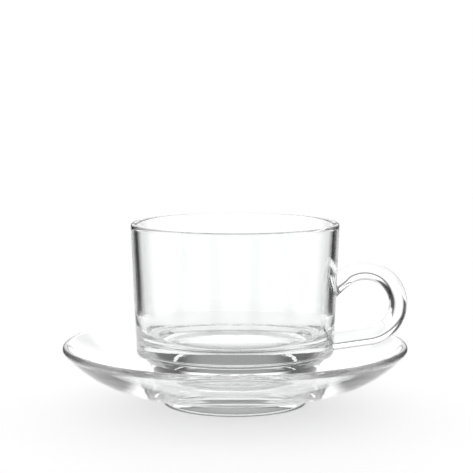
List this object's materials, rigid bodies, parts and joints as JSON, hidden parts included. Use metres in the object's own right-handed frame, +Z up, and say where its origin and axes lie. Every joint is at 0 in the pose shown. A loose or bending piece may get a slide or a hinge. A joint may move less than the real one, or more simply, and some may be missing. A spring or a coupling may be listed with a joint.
{
  "type": "teacup and saucer",
  "caption": "Clear glass teacup with tapered wall, heavy base, coned foot and round loop handle, standing in a deep clear glass saucer with a rolled lip and foot ring.",
  "frame": {"origin": "middle of the saucer's foot ring, on the table", "axes": "+Z up, +X towards the cup's handle"},
  "size_m": [0.14, 0.14, 0.0733],
  "materials": {
    "cup_glass": "clear, fire polished",
    "saucer_glass": "clear, fire polished"
  },
  "bodies": {
    "root": {"cup": "cup_glass", "saucer": "saucer_glass"}
  },
  "joints": []
}
